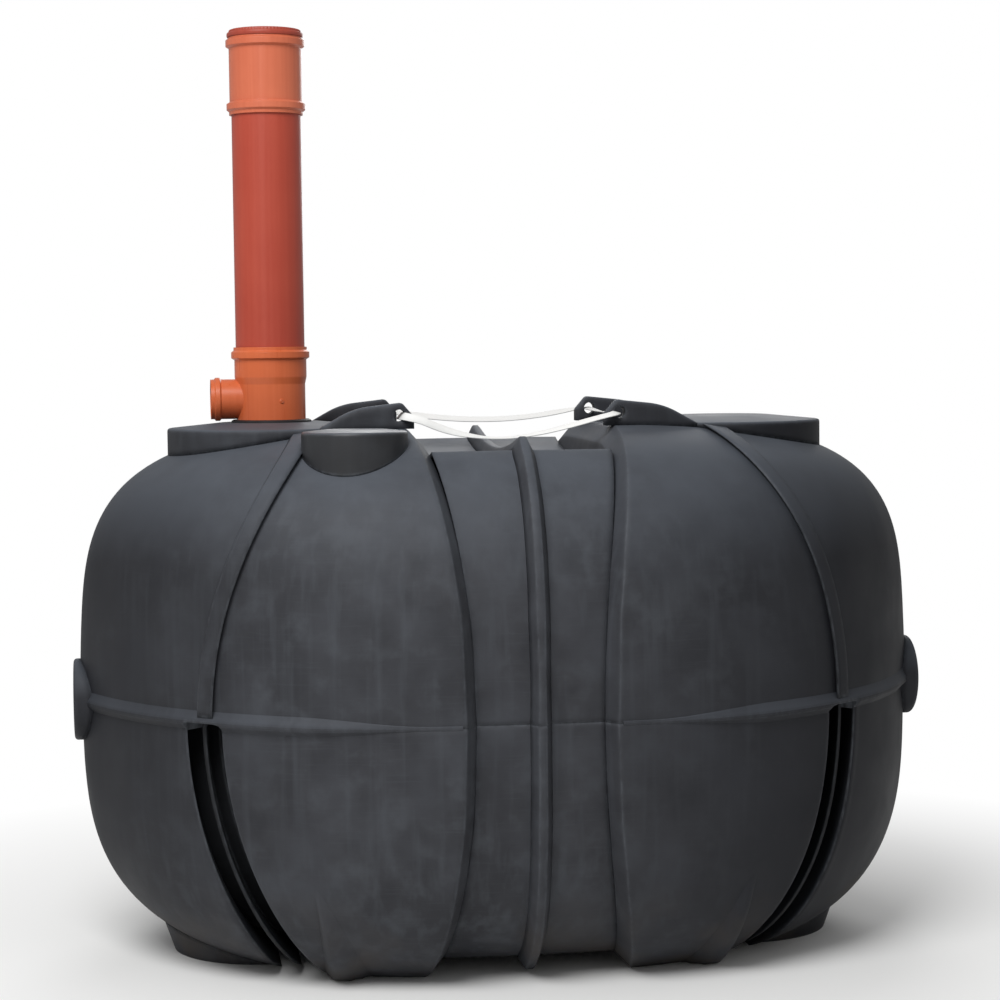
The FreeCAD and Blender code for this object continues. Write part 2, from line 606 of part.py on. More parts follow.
leftBackLug = mirrored("left_back_lug", leftFrontLug, ACROSS)
rightFrontLug = mirrored("right_front_lug", leftFrontLug, ALONG)
rightBackLug = mirrored("right_back_lug", leftBackLug, ALONG)

# Riser: every piece turned about the left pad's axis, measured from the foot of the tee.
riserX, riserZ = padX, crownZ + " + dims.pad_rise - dims.tee_spigot"
bore = "dims.pipe_radius - dims.pipe_wall"
socketIn = "dims.pipe_radius + dims.socket_gap"
socketOut = socketIn + " + dims.socket_wall"
bead = socketOut + " + dims.bead_rise"
seat = "dims.tee_spigot"
seal = bodyAt("pipe_seal", riserX, "0", riserZ)
turn(seal, "PartDesign::Revolution", "seal_ring",
     [("dims.pipe_radius", seat + " - dims.wall"),
      ("dims.pipe_radius + dims.seal_thick", seat + " - dims.wall"),
      ("dims.pipe_radius + dims.seal_thick", seat), ("dims.seal_radius", seat),
      ("dims.seal_radius", seat + " + dims.seal_height * 0.6"),
      ("dims.seal_radius - dims.seal_thick", seat + " + dims.seal_height"),
      ("dims.pipe_radius", seat + " + dims.seal_height")])
tee = bodyAt("riser_tee", riserX, "0", riserZ)
tee.Placement.Rotation = FreeCAD.Rotation(FreeCAD.Vector(0, 0, 1), 180)
neck = seat + " + dims.tee_neck"
shoulder = neck + " + dims.tee_flare"
teeTop = shoulder + " + dims.tee_socket"
beadTop = teeTop + " - dims.rim_height"
beadLow = beadTop + " - dims.bead_height"
turn(tee, "PartDesign::Revolution", "tee_outside",
     [("0", "0"), ("dims.pipe_radius", "0"), ("dims.pipe_radius", neck), (socketOut, shoulder),
      (socketOut, beadLow), (bead, beadLow + " + dims.bead_height * 0.2"),
      (bead, beadTop + " - dims.bead_height * 0.2"), (socketOut + " + 2", beadTop),
      (socketOut + " + 2", teeTop), ("0", teeTop)])
branchZ = seat + " + dims.branch_height"
branchOut = "dims.branch_bore + dims.branch_wall"
lip = "dims.branch_reach - dims.branch_lip"
branchBead = branchOut + " + dims.branch_bead_rise"
turn(tee, "PartDesign::Revolution", "branch_outside",
     [("0", "0"), ("dims.branch_reach", "0"), ("dims.branch_reach", branchOut), (lip, branchOut),
      (lip + " - dims.branch_bead_length * 0.2", branchBead),
      (lip + " - dims.branch_bead_length * 0.8", branchBead),
      (lip + " - dims.branch_bead_length", branchOut), ("0", branchOut)], "H_Axis", branchZ)
turn(tee, "PartDesign::Groove", "tee_inside",
     [("0", "0"), (bore, "0"), (bore, shoulder), (socketIn, shoulder), (socketIn, teeTop), ("0", teeTop)])
turn(tee, "PartDesign::Groove", "branch_inside",
     [("0", "0"), ("dims.branch_reach", "0"), ("dims.branch_reach", "dims.branch_bore"),
      ("dims.branch_reach - dims.branch_depth", "dims.branch_bore"),
      ("dims.branch_reach - dims.branch_depth", "dims.branch_way"), ("0", "dims.branch_way")],
     "H_Axis", branchZ)
pipe = bodyAt("riser_pipe", riserX, "0", riserZ)
pipeFoot = shoulder + " + dims.socket_stop"
couplerFoot = teeTop + " + dims.pipe_show"
middle = couplerFoot + " + dims.coupler_height / 2"
pipeTop = middle + " - dims.coupler_stop / 2 - dims.socket_stop"
turn(pipe, "PartDesign::Revolution", "pipe_wall_turned",
     [(bore, pipeFoot), ("dims.pipe_radius", pipeFoot), ("dims.pipe_radius", pipeTop), (bore, pipeTop)])
coupler = bodyAt("riser_coupler", riserX, "0", riserZ)
couplerTop = couplerFoot + " + dims.coupler_height"
lowBead = couplerFoot + " + dims.rim_height"
highBead = couplerTop + " - dims.rim_height / 3"
turn(coupler, "PartDesign::Revolution", "coupler_turned",
     [(socketIn, couplerFoot), (socketOut + " + 2", couplerFoot), (socketOut + " + 2", lowBead),
      (bead, lowBead + " + dims.bead_height * 0.2"), (bead, lowBead + " + dims.bead_height * 0.8"),
      (socketOut, lowBead + " + dims.bead_height"), (socketOut, highBead + " - dims.bead_height"),
      (bead, highBead + " - dims.bead_height * 0.8"), (bead, highBead + " - dims.bead_height * 0.2"),
      (socketOut + " + 2", highBead), (socketOut + " + 2", couplerTop), (socketIn, couplerTop),
      (socketIn, middle + " + dims.coupler_stop / 2"), (bore, middle + " + dims.coupler_stop / 2"),
      (bore, middle + " - dims.coupler_stop / 2"), (socketIn, middle + " - dims.coupler_stop / 2")])
plug = bodyAt("riser_plug", riserX, "0", riserZ)
flangeTop = couplerTop + " + dims.plug_flange_height"
plugTop = flangeTop + " + dims.plug_top_height"
skirtFoot = couplerTop + " - dims.plug_skirt"
skirtIn = "dims.pipe_radius - dims.plug_plate"
turn(plug, "PartDesign::Revolution", "plug_turned",
     [(skirtIn, skirtFoot), ("dims.pipe_radius", skirtFoot), ("dims.pipe_radius", couplerTop),
      ("dims.plug_flange_radius", couplerTop), ("dims.plug_flange_radius", flangeTop),
      ("dims.plug_top_radius", flangeTop), ("dims.plug_top_radius", plugTop), ("0", plugTop),
      ("0", plugTop + " - dims.plug_plate"), (skirtIn, plugTop + " - dims.plug_plate")])
doc.recompute()

# Lifting strap: from the left back lug through the right lugs to the left front lug.
STRAP = [
    (-313, 206, 1554), (-313, 258, 1555), (-300, 296, 1553), (-252, 306, 1547), (-170, 303, 1535),
    (-60, 299, 1525), (60, 298, 1524), (165, 302, 1533), (252, 306, 1547), (300, 296, 1554),
    (313, 258, 1556), (314, 196, 1554), (322, 110, 1549), (325, 10, 1547), (322, -95, 1549),
    (314, -190, 1554), (313, -258, 1556), (300, -296, 1553), (252, -306, 1543), (170, -303, 1521),
    (75, -300, 1498), (-35, -298, 1485), (-140, -300, 1499), (-210, -304, 1521), (-258, -306, 1543),
    (-301, -296, 1553), (-312, -258, 1555), (-312, -206, 1554),
]


def tubeAlong(points, radius):
    spots = [FreeCAD.Vector(*point) for point in points]
    edges = []
    radii = []
    here = spots[0]
    for before, spot, after in zip(spots, spots[1:], spots[2:]):
        back, ahead = before - spot, after - spot
        half = (math.pi - back.getAngle(ahead)) / 2.0
        reach = 0.45 * min(back.Length, ahead.Length)
        radii.append(reach / math.tan(half))
        back.normalize()
        ahead.normalize()
        first, last = spot + back * reach, spot + ahead * reach
        inward = back + ahead
        inward.normalize()
        middle = spot + inward * (radii[-1] / math.cos(half) - radii[-1])
        edges.append(Part.LineSegment(here, first).toShape())
        edges.append(Part.Arc(first, middle, last).toShape())
        here = last
    edges.append(Part.LineSegment(here, spots[-1]).toShape())
    path = Part.Wire(edges)
    ring = Part.Wire(Part.makeCircle(radius, spots[0], spots[1] - spots[0]))
    tube = path.makePipeShell([ring], True, True)
    print("strap radii", [round(value) for value in radii])
    print("strap length", round(path.Length), "volume share", tube.Volume / (math.pi * radius ** 2 * path.Length))
    return tube


strap = feature("lifting_strap", tubeAlong(STRAP, size("strap_radius")))

keep(upperLeftEnd, upperLeftLobe, upperWaist, upperRightLobe, upperRightEnd)
keep(lowerLeftEnd, lowerLeftLobe, lowerWaist, lowerRightLobe, lowerRightEnd, leftChannel, rightChannel)
keep(leftFrontRib, leftBackRib, rightFrontRib, rightBackRib, upperRing, lowerRing)
keep(leftFrontBand, leftBackBand, rightFrontBand, rightBackBand, leftHub, rightHub, leftFoot, rightFoot)
keep(leftFrontFlute, leftBackFlute, rightFrontFlute, rightBackFlute)
keep(leftPad, rightPad, shoulderBoss, leftFrontLug, leftBackLug, rightFrontLug, rightBackLug)
keep(seal, tee, pipe, coupler, plug, strap)

for item in doc.Objects:
    if "Invalid" in item.State or "Error" in item.State:
        raise RuntimeError("not computed: " + item.Label)
os.makedirs("parts", exist_ok=True)
for item in nodes:
    shape = item.Shape
    if shape.isNull() or not shape.isValid():
        raise RuntimeError("not a valid shape: " + item.Label)
    print(item.Label, len(shape.Solids), round(shape.Volume / 1e6, 3))
    shape.exportStep("parts/" + item.Label + ".step")
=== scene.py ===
import bpy
import bmesh
import json
import math
from mathutils import Matrix, Vector
from mathutils.bvhtree import BVHTree


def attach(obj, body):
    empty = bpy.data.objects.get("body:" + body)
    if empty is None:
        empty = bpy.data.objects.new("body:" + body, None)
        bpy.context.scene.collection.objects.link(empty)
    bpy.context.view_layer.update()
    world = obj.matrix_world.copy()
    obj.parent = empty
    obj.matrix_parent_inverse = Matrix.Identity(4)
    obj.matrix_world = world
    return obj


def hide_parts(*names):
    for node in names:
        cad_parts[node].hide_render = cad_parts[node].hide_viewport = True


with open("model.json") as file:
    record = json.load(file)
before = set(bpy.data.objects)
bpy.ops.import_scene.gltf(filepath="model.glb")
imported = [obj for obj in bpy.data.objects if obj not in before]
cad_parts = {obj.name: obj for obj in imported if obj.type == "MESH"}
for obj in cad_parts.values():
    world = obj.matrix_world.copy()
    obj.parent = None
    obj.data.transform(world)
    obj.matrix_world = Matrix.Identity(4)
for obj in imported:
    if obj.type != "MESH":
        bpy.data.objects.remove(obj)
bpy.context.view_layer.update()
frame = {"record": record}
nodeNames = [row["node"] for row in frame["record"]["subparts"]]
print("frame loaded", len(nodeNames))

# Camera
camera = {
    "place": (-1.039, -7.507, 1.760),
    "yaw": 7.92,
    "pitch": -3.52,
    "roll": -0.7,
    "focal": 2.566,  # focal length in image widths
    "sensor": 36.0,  # mm
}


def makeCamera(spec):
    yaw, pitch, roll = (math.radians(spec[key]) for key in ("yaw", "pitch", "roll"))
    ahead = Vector((math.sin(yaw) * math.cos(pitch), math.cos(yaw) * math.cos(pitch), math.sin(pitch)))
    side = Vector((math.cos(yaw), -math.sin(yaw), 0.0))
    over = side.cross(ahead)
    right = math.cos(roll) * side + math.sin(roll) * over
    up = math.cos(roll) * over - math.sin(roll) * side
    data = bpy.data.cameras.new("photoCamera")
    data.sensor_width = spec["sensor"]
    data.sensor_fit = "HORIZONTAL"
    data.lens = spec["sensor"] * spec["focal"]
    data.clip_end = 100.0
    thing = bpy.data.objects.new("photoCamera", data)
    thing.matrix_world = Matrix.Translation(spec["place"]) @ Matrix((right, up, -ahead)).transposed().to_4x4()
    bpy.context.scene.collection.objects.link(thing)
    bpy.context.scene.camera = thing


makeCamera(camera)
print("camera placed")


# Colour and node helpers
def linear(code):
    parts = [int(code[i:i + 2], 16) / 255.0 for i in (1, 3, 5)]
    return tuple(p / 12.92 if p <= 0.04045 else ((p + 0.055) / 1.055) ** 2.4 for p in parts) + (1.0,)


def addNode(tree, kind, inputs=None, **settings):
    node = tree.nodes.new(kind)
    for key, value in settings.items():
        setattr(node, key, value)
    for key, value in (inputs or {}).items():
        if isinstance(value, bpy.types.NodeSocket):
            tree.links.new(value, node.inputs[key])
        else:
            node.inputs[key].default_value = value
    return node


def startMaterial(name):
    material = bpy.data.materials.new(name)
    material.use_nodes = True
    tree = material.node_tree
    shader = tree.nodes["Principled BSDF"]
    return material, tree, shader


def noise(tree, place, scale, detail=4.0, stretch=None):
    if stretch:
        place = addNode(tree, "ShaderNodeMapping", {"Vector": place, "Scale": stretch}).outputs["Vector"]
    return addNode(tree, "ShaderNodeTexNoise", {"Vector": place, "Scale": scale, "Detail": detail}).outputs["Fac"]


def blend(tree, factor, fromColour, toColour):
    mix = addNode(tree, "ShaderNodeMix", {"Factor": factor}, data_type="RGBA")
    for key, colour in (("A", fromColour), ("B", toColour)):
        socket = [s for s in mix.inputs if s.name == key and s.type == "RGBA"][0]
        if isinstance(colour, bpy.types.NodeSocket):
            tree.links.new(colour, socket)
        else:
            socket.default_value = linear(colour)
    return [s for s in mix.outputs if s.type == "RGBA"][0]


def spread(tree, value, low, high, toLow=0.0, toHigh=1.0):
    return addNode(tree, "ShaderNodeMapRange", {"Value": value, "From Min": low, "From Max": high,
                                                "To Min": toLow, "To Max": toHigh}).outputs["Result"]


def combine(tree, kind, first, second):
    return addNode(tree, "ShaderNodeMath", {0: first, 1: second}, operation=kind).outputs["Value"]


def edgeShare(tree, radius, low, high):
    soft = addNode(tree, "ShaderNodeBevel", {"Radius": radius}, samples=6).outputs["Normal"]
    flat = addNode(tree, "ShaderNodeNewGeometry").outputs["True Normal"]
    near = addNode(tree, "ShaderNodeVectorMath", {0: soft, 1: flat}, operation="DOT_PRODUCT").outputs["Value"]
    return spread(tree, near, low, high)


# Tank: charcoal rotomoulded polyethylene, matte, chalky dust and painted light on top, faintly clouded and streaked,
# painted shade towards the ends, edges rubbed pale with a painted highlight
tank = {
    "deep": "#303135",
    "mid": "#3A3B3F",
    "cloud": "#43454A",
    "streak": "#484B50",
    # faces turned up: chalky dust with painted top light
    "chalk": "#555A62",
    "clean": "#1F2024",  # painted shade on the ends and the right side, where less light falls
    # edges paled: rubbed wear with a painted highlight
    "edge": "#5C6066",
    "dirt": "#453D34",
    "round": 0.026,  # moulded edges look rounded over this
    "shine": 0.16,
    "rough": (0.52, 0.66),
}
boss = dict(tank, deep="#1D1E20", mid="#232427", cloud="#292A2D", streak="#2E3034", clean="#191A1C", round=0.010,
            shine=0.45, rough=(0.34, 0.46))  # darker and smoother than the shell
hub = dict(tank, clean="#2C2D31")  # painted end shade kept lighter on the hubs
# channels: near-black colours, painted shade in the deep recesses
channel = dict(tank, deep="#17181A", mid="#1C1D20", cloud="#212225", streak="#242629", clean="#17181A", edge="#43464B",
               round=0.014)
marks = {  # scale, detail, stretch
    "cloud": (1.6, 5.0, None),
    "haze": (5.0, 6.0, None),
    "streak": (34.0, 3.0, (1.0, 1.0, 0.05)),  # runs down
    "rub": (70.0, 4.0, (1.0, 1.0, 0.4)),
    "mottle": (13.0, 6.0, None),
    "scratch": (180.0, 3.0, (0.05, 0.05, 1.0)),  # runs sideways
    "grain": (500.0, 2.0, None),
}


def tankMaterial(name, spec):
    material, tree, shader = startMaterial(name)
    place = addNode(tree, "ShaderNodeTexCoord").outputs["Object"]
    facing = addNode(tree, "ShaderNodeNewGeometry").outputs["Normal"]
    upward = addNode(tree, "ShaderNodeSeparateXYZ", {0: facing}).outputs["Z"]
    split = addNode(tree, "ShaderNodeSeparateXYZ", {0: place}).outputs
    layers = {key: noise(tree, place, *mark) for key, mark in marks.items()}
    cloud, haze, mottle = (layers[key] for key in ("cloud", "haze", "mottle"))
    colour = blend(tree, spread(tree, cloud, 0.36, 0.62), spec["deep"], spec["mid"])
    colour = blend(tree, spread(tree, mottle, 0.50, 0.32, 0.0, 0.7), colour, spec["deep"])
    colour = blend(tree, spread(tree, mottle, 0.52, 0.72, 0.0, 0.6), colour, spec["streak"])
    colour = blend(tree, spread(tree, layers["scratch"], 0.55, 0.80, 0.0, 0.25), colour, spec["streak"])
    colour = blend(tree, spread(tree, haze, 0.42, 0.75, 0.0, 0.8), colour, spec["cloud"])
    colour = blend(tree, spread(tree, layers["streak"], 0.50, 0.80, 0.0, 0.55), colour, spec["streak"])
    reach = combine(tree, "ABSOLUTE", combine(tree, "ADD", split["X"], 0.25), 0.0)  # painted shade, growing from left of the waist towards both ends
    reach = combine(tree, "ADD", reach, spread(tree, cloud, 0.3, 0.7, -0.2, 0.2))
    # painted shade: the ends and the right side are darkened
    colour = blend(tree, spread(tree, reach, 0.40, 1.10), colour, spec["clean"])
    # partly chalky dust, partly painted light: faces turned up are paled
    chalk = combine(tree, "MULTIPLY", spread(tree, upward, 0.15, 1.0, 0.0, 0.8),
                    spread(tree, haze, 0.2, 0.6, 0.6, 1.0))
    colour = blend(tree, chalk, colour, spec["chalk"])
    # partly rubbed wear, partly painted highlight: edges are paled
    edge = edgeShare(tree, 0.014, 0.995, 0.88)
    wearAndHighlight = combine(tree, "MULTIPLY", edge, spread(tree, layers["rub"], 0.35, 0.65, 0.10, 0.60))
    colour = blend(tree, wearAndHighlight, colour, spec["edge"])
    low = combine(tree, "MULTIPLY", spread(tree, split["Z"], 0.30, 0.02),
                  spread(tree, haze, 0.48, 0.68, 0.0, 0.5))
    colour = blend(tree, low, colour, spec["dirt"])
    tree.links.new(colour, shader.inputs["Base Color"])
    tree.links.new(spread(tree, haze, 0.3, 0.7, *spec["rough"]), shader.inputs["Roughness"])
    shader.inputs["Specular IOR Level"].default_value = spec["shine"]
    rounded = addNode(tree, "ShaderNodeBevel", {"Radius": spec["round"]}, samples=8).outputs["Normal"]
    bump = addNode(tree, "ShaderNodeBump", {"Height": layers["grain"], "Strength": 0.10, "Distance": 0.0006,
                                            "Normal": rounded})
    tree.links.new(bump.outputs["Normal"], shader.inputs["Normal"])
    return material


# Riser: drain pipe plastics, satin, with fine lines along the extruded pipe
pipes = {  # dark and light shade, roughness
    "riser_pipe": ("#A03D2D", "#AA4735", 0.40),
    "riser_coupler": ("#BA5E42", "#C96D4F", 0.34),
    "riser_tee": ("#BE5A33", "#CC683F", 0.32),
    "riser_plug": ("#91392B", "#A34635", 0.42),
}


def pipeMaterial(name, low, high, roughness):
    material, tree, shader = startMaterial(name)
    place = addNode(tree, "ShaderNodeTexCoord").outputs["Object"]
    cloud = noise(tree, place, 5.0, 4.0)
    line = noise(tree, place, 90.0, 2.0, (1.0, 1.0, 0.02))
    shade = combine(tree, "ADD", spread(tree, cloud, 0.3, 0.7, 0.0, 0.6), spread(tree, line, 0.3, 0.7, 0.0, 0.4))
    tree.links.new(blend(tree, shade, low, high), shader.inputs["Base Color"])
    tree.links.new(spread(tree, line, 0.3, 0.7, roughness - 0.05, roughness + 0.07), shader.inputs["Roughness"])
    shader.inputs["Specular IOR Level"].default_value = 0.35
    soft = addNode(tree, "ShaderNodeBevel", {"Radius": 0.002}, samples=6).outputs["Normal"]
    bump = addNode(tree, "ShaderNodeBump", {"Height": line, "Strength": 0.05, "Distance": 0.0005, "Normal": soft})
    tree.links.new(bump.outputs["Normal"], shader.inputs["Normal"])
    return material


# Seal: black rubber, dull
def rubberMaterial():
    material, tree, shader = startMaterial("blackRubber")
    place = addNode(tree, "ShaderNodeTexCoord").outputs["Object"]
    colour = blend(tree, spread(tree, noise(tree, place, 40.0), 0.3, 0.7), "#161617", "#222224")
    tree.links.new(colour, shader.inputs["Base Color"])
    shader.inputs["Roughness"].default_value = 0.6
    return material


def dress(name, material):
    thing = bpy.data.objects[name]
    slots = thing.data.materials
    slots.clear()
    slots.append(material)


surfaces = {}
tankSurface = tankMaterial("rotomouldedPolyethylene", tank)
channelSurface = tankMaterial("shadedPolyethylene", channel)
bossSurface = tankMaterial("smoothPolyethylene", boss)
hubSurface = tankMaterial("rubbedPolyethylene", hub)
for name in nodeNames:
    if name in pipes:
        low, high, roughness = pipes[name]
        surfaces[name] = pipeMaterial(name.replace("riser_", "") + "Polypropylene", low, high, roughness)
        dress(name, surfaces[name])
    elif name == "pipe_seal":
        dress(name, rubberMaterial())
    elif name.endswith("_channel"):
        dress(name, channelSurface)
    elif name.endswith("_boss"):
        dress(name, bossSurface)
    elif name.endswith("_hub"):
        dress(name, hubSurface)
    elif name != "lifting_strap":
        dress(name, tankSurface)
print("materials made")


# Moulded ridges: laid on the shell where rays meet it
rayStart = 0.3  # outside the skin


def shellTree(names):
    spots, faces = [], []
    for name in names:
        thing = bpy.data.objects[name]
        start = len(spots)
        spots.extend(thing.matrix_world @ vertex.co for vertex in thing.data.vertices)
        faces.extend([start + k for k in face.vertices] for face in thing.data.polygons)
    return BVHTree.FromPolygons(spots, faces)


def skinAt(tree, spot, inward):
    hit, normal = tree.ray_cast(spot - rayStart * inward, inward)[:2]
    if hit is None:
        return spot, -inward
    return hit, normal if normal.dot(inward) < 0 else -normal


def ease(value, low, high):
    part = min(max((value - low) / (high - low), 0.0), 1.0)
    return part * part * (3.0 - 2.0 * part)


def makeRidge(name, rows, node):
    data = bpy.data.meshes.new(name)
    wide = len(rows[0])
    faces = []
    for i in range(len(rows) - 1):
        for k in range(wide - 1):
            faces.append((i * wide + k, i * wide + k + 1, (i + 1) * wide + k + 1, (i + 1) * wide + k))
    data.from_pydata([spot for row in rows for spot in row], [], faces)
    mesh = bmesh.new()
    mesh.from_mesh(data)
    bmesh.ops.recalc_face_normals(mesh, faces=mesh.faces)
    mesh.faces.ensure_lookup_table()
    middle = mesh.faces[len(mesh.faces) // 2]
    if middle.normal.dot(Vector((0.0, middle.calc_center_median().y, 0.0))) < 0:
        bmesh.ops.reverse_faces(mesh, faces=mesh.faces)
    mesh.to_mesh(data)
    mesh.free()
    for face in data.polygons:
        face.use_smooth = True
    thing = bpy.data.objects.new(name, data)
    bpy.context.scene.collection.objects.link(thing)
    data.materials.append(tankSurface)
    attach(thing, "root")
    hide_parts(node)


# Seam bands: full round the ends, fading to a fine line near the waist
band = {
    "seam": 0.740,
    "halfLength": 1.226,
    "halfWidth": 0.832,
    "powers": (2.0 / 2.7, 2.0 / 1.35),
    "from": 13.5,  # degrees, inside the hub
    "to": 84.5,  # degrees, at the waist flank
    "rise": 0.018,
    "fine": 0.0022,
    "fade": (0.30, 0.66),
    "slim": 0.25,  # share of the height left where it is fine
    "sink": 0.002,
    "steps": 120,
    "profile": [  # height, share of the rise
                (0.036, -0.18), (0.031, 0.04), (0.022, 0.30), (0.012, 0.68), (0.005, 0.94), (0.0005, 1.0),
                (-0.005, 0.90), (-0.011, 0.55), (-0.017, 0.20), (-0.021, 0.03), (-0.025, -0.18)],
}


def bandRows(tree, spec, sideX, sideY):
    nudge = 0.002

    def outline(turn):
        x = spec["halfLength"] * math.cos(turn) ** spec["powers"][0]
        y = spec["halfWidth"] * math.sin(turn) ** spec["powers"][1]
        return Vector((sideX * x, sideY * y, spec["seam"]))

    rows = []
    for step in range(spec["steps"] + 1):
        turn = math.radians(spec["from"] + (spec["to"] - spec["from"]) * step / spec["steps"])
        spot = outline(turn)
        along = (outline(turn + nudge) - outline(turn - nudge)).normalized()
        outward = along.cross(Vector((0, 0, 1)))
        if outward.dot(spot - Vector((0, 0, spec["seam"]))) < 0:
            outward = -outward
        fade = ease(abs(spot.x), *spec["fade"])
        rise = spec["fine"] + (spec["rise"] - spec["fine"]) * fade
        tall = spec["slim"] + (1.0 - spec["slim"]) * fade
        row = []
        for height, share in spec["profile"]:
            level = spot + Vector((0, 0, height * tall))
            lift = rise * share if share > 0 else -spec["sink"]
            row.append(skinAt(tree, level, -outward)[0] + outward * lift)
        rows.append(row)
    return rows


# Flutes: soft leaf-shaped buttresses at the feet of the lobes, steep towards the end and gentle towards the waist
flute = {
    "foot": 0.498,
    "tip": 0.612,
    "tall": 0.330,
    "half": 0.064,
    "rise": 0.034,
    "crest": 0.35,  # how far the top lies to the outer side
    "sink": 0.001,
    "climb": 0.003,
    "front": 0.75,  # rays start from here
    "rows": 30,
    "columns": 16,
}


def meetsSide(tree, spot, inward):
    hit = tree.ray_cast(spot - rayStart * inward, inward)[0]
    return hit is not None and hit.dot(inward) < -0.2  # not the far wall


def fluteRows(tree, spec, sideX, sideY):
    inward = Vector((0, -sideY, 0))
    rows = []
    for i in range(spec["rows"] + 1):
        v = i / spec["rows"]
        row = []
        for k in range(spec["columns"] + 1):
            u = 2.0 * k / spec["columns"] - 1.0
            x = spec["foot"] + (spec["tip"] - spec["foot"]) * v + u * spec["half"] * (1.0 - v) ** 0.9
            start = Vector((sideX * x, sideY * spec["front"], spec["sink"] + spec["tall"] * v))
            while not meetsSide(tree, start, inward) and start.z < spec["tall"]:
                start.z += spec["climb"]  # up to the lobe's lower edge
            hit, normal = skinAt(tree, start, inward)
            aside = (u - spec["crest"]) / (1.0 - spec["crest"] if u > spec["crest"] else 1.0 + spec["crest"])
            swell = max(1.0 - aside * aside, 0.0) ** 1.3
            lift = spec["rise"] * swell * (1.0 - v) ** 0.6 * ease(1.0 - v, 0.0, 0.4) - spec["sink"]
            spot = hit + normal * lift
            row.append(Vector((spot.x, spot.y, max(spot.z, 0.0005))))
        rows.append(row)
    return rows


shell = shellTree([name for name in nodeNames if name.endswith(("_lobe", "_end"))])
for sideX, left in ((-1, "left"), (1, "right")):
    for sideY, front in ((-1, "front"), (1, "back")):
        makeRidge(left + front.title() + "Band", bandRows(shell, band, sideX, sideY), f"{left}_{front}_seam_band")
        makeRidge(left + front.title() + "Flute", fluteRows(shell, flute, sideX, sideY), f"{left}_{front}_flute")
print("ridges made")

# Plug: turned, with a raised rim and fine grip flutes round its edge
plug = {
    "axis": (-0.665, 0.0, 0.0),
    "flutes": 64,
    "profile": [  # radius, height, flute depth
        (0.0, 2.663, 0.0), (0.078, 2.663, 0.0), (0.081, 2.664, 0.0), (0.084, 2.667, 0.0), (0.087, 2.668, 0.0),
        (0.099, 2.668, 0.0), (0.1025, 2.667, 0.0012), (0.104, 2.665, 0.0022), (0.104, 2.661, 0.0022),
        (0.1045, 2.6595, 0.0), (0.108, 2.659, 0.0), (0.1095, 2.6575, 0.0), (0.110, 2.655, 0.0), (0.110, 2.649, 0.0),
        (0.1085, 2.6465, 0.0), (0.100, 2.646, 0.0), (0.100, 2.578, 0.0), (0.0975, 2.576, 0.0), (0.095, 2.578, 0.0),
        (0.095, 2.658, 0.0), (0.0, 2.658, 0.0)],
}


plainCount = 48  # sides of a turned piece with no flutes


def makeTurned(name, profile, flutes, matrix, material):
    count = flutes * 4 if flutes else plainCount
    mesh = bmesh.new()
    rings = []
    for radius, height, depth in profile:
        ring = []
        for k in range(count if radius > 0 else 1):
            turn = 2.0 * math.pi * k / count
            reach = radius - depth * (0.5 - 0.5 * math.cos(flutes * turn))
            ring.append(mesh.verts.new(matrix @ Vector((reach * math.cos(turn), reach * math.sin(turn), height))))
        rings.append(ring)
    for first, second in zip(rings, rings[1:]):
        for k in range(count):
            n = (k + 1) % count
            corners = [first[k % len(first)], first[n % len(first)], second[n % len(second)], second[k % len(second)]]
            mesh.faces.new(list(dict.fromkeys(corners)))
    bmesh.ops.recalc_face_normals(mesh, faces=mesh.faces)
    data = bpy.data.meshes.new(name)
    mesh.to_mesh(data)
    mesh.free()
    for face in data.polygons:
        face.use_smooth = True
    data.set_sharp_from_angle(angle=math.radians(50))
    thing = bpy.data.objects.new(name, data)
    bpy.context.scene.collection.objects.link(thing)
    data.materials.append(material)
    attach(thing, "root")
    return thing


plugPiece = makeTurned("riserPlug", plug["profile"], plug["flutes"], Matrix.Translation(plug["axis"]),
                       surfaces["riser_plug"])
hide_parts("riser_plug")

# Gate mark: small moulded nub on the front of the tee
gate = {
    "place": (-0.639, -0.15, 1.598),  # in front of the tee
    "profile": [(0.0, 0.0022, 0.0), (0.0022, 0.0022, 0.0), (0.0032, 0.0012, 0.0), (0.0046, 0.0026, 0.0),
                (0.0062, 0.0018, 0.0), (0.0072, -0.001, 0.0)],
}
spot, normal = skinAt(shellTree(["riser_tee"]), Vector(gate["place"]), Vector((0, 1, 0)))
gatePlace = Matrix.Translation(spot) @ normal.to_track_quat("Z", "Y").to_matrix().to_4x4()
makeTurned("teeGateMark", gate["profile"], 0, gatePlace, surfaces["riser_tee"])
print("plug and gate mark made")

